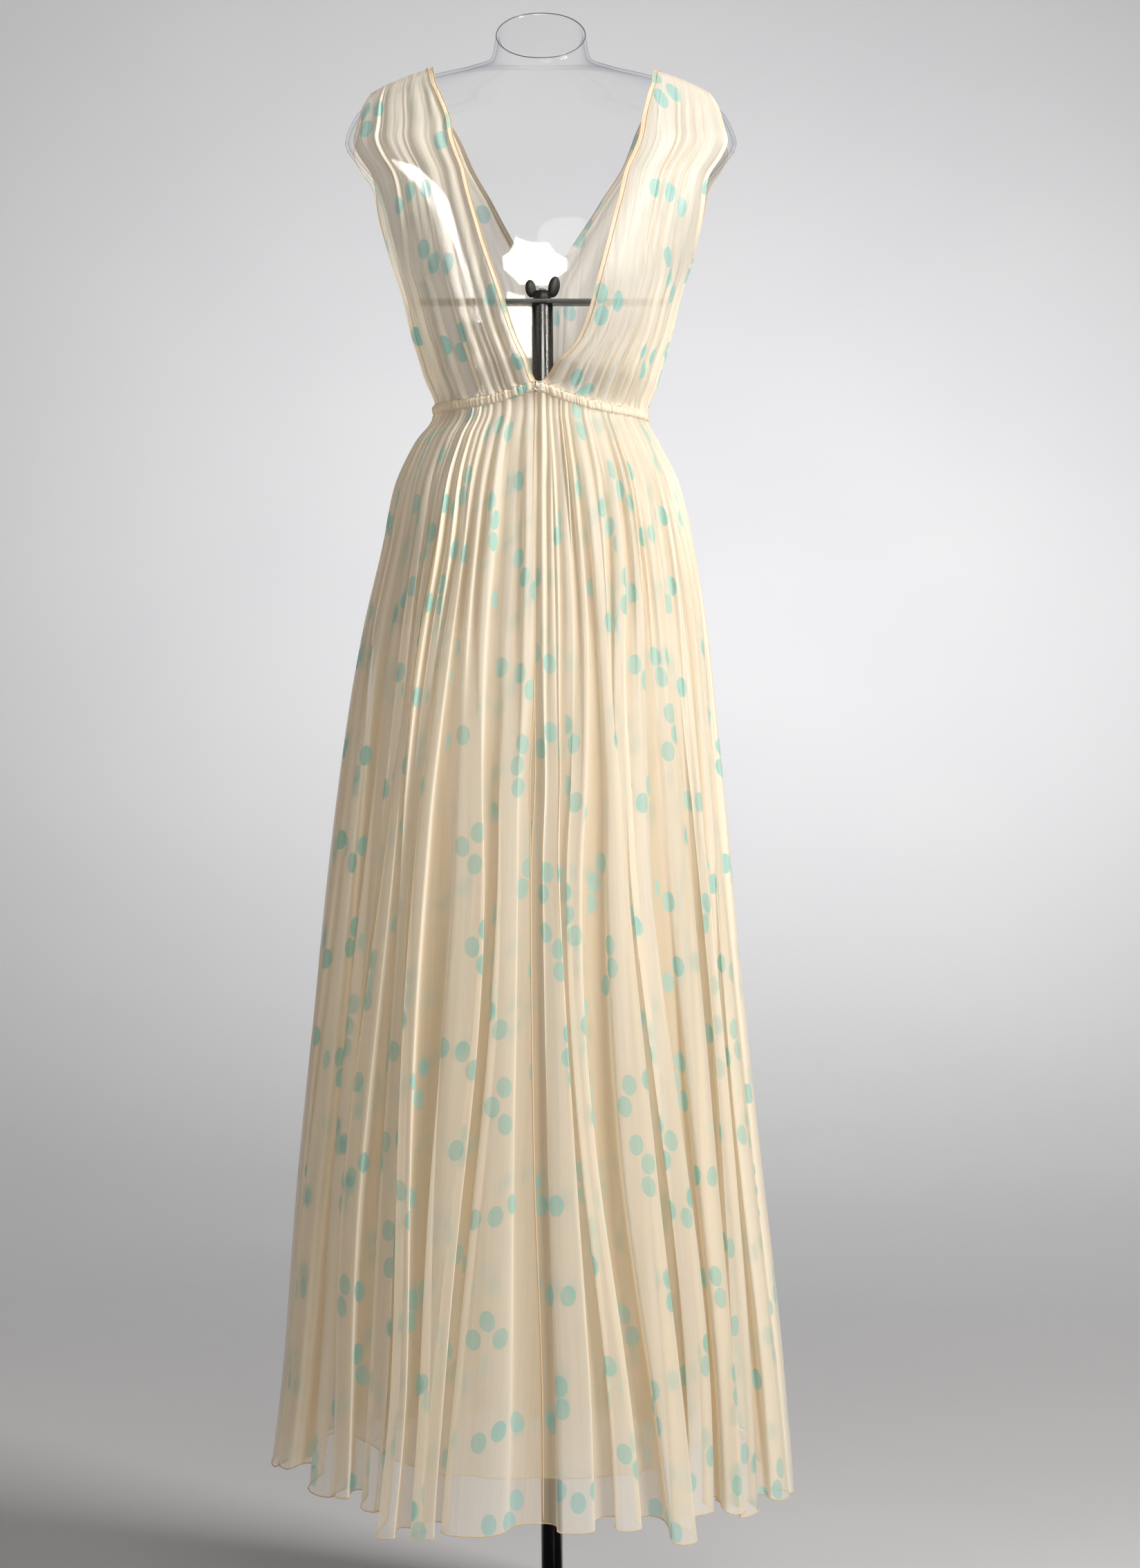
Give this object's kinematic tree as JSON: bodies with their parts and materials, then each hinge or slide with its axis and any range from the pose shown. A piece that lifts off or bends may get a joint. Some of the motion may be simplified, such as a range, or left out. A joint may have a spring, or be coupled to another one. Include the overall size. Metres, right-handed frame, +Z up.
{
  "type": "sleeveless dress on a clear dress form with a pole stand",
  "caption": "Full-length gathered chiffon dress with a deep V neck and a front slit, worn by a clear limbless dress form on a black pole with a round foot.",
  "frame": {"origin": "on the floor, 12.5 mm to the left of the round foot's centre, under the middle of the dress form's shoulders", "axes": "+Z up; the dress's front faces -Y, and +X is on the right of someone who looks at the front"},
  "size_m": [0.5341, 0.5393, 1.709],
  "materials": {
    "chiffon": "sheer cream chiffon printed with aqua oval dots",
    "underskirt_chiffon": "sheer warm cream chiffon",
    "clear_acrylic": "polished clear acrylic",
    "black_paint": "gloss black paint",
    "plated_steel": "plated wire"
  },
  "bodies": {
    "root": {"bodice_front_left": "chiffon", "bodice_front_right": "chiffon", "bodice_back_left": "chiffon", "bodice_back_right": "chiffon", "waist_casing_left": "chiffon", "waist_casing_right": "chiffon", "waist_casing_back": "chiffon", "hook_and_eye": "plated_steel", "skirt_front_left": "chiffon", "skirt_front_right": "chiffon", "skirt_back": "chiffon", "underskirt": "underskirt_chiffon", "form": "clear_acrylic", "support_plate": "clear_acrylic", "wing_nut": "black_paint", "pole": "black_paint", "base": "black_paint"}
  },
  "joints": []
}
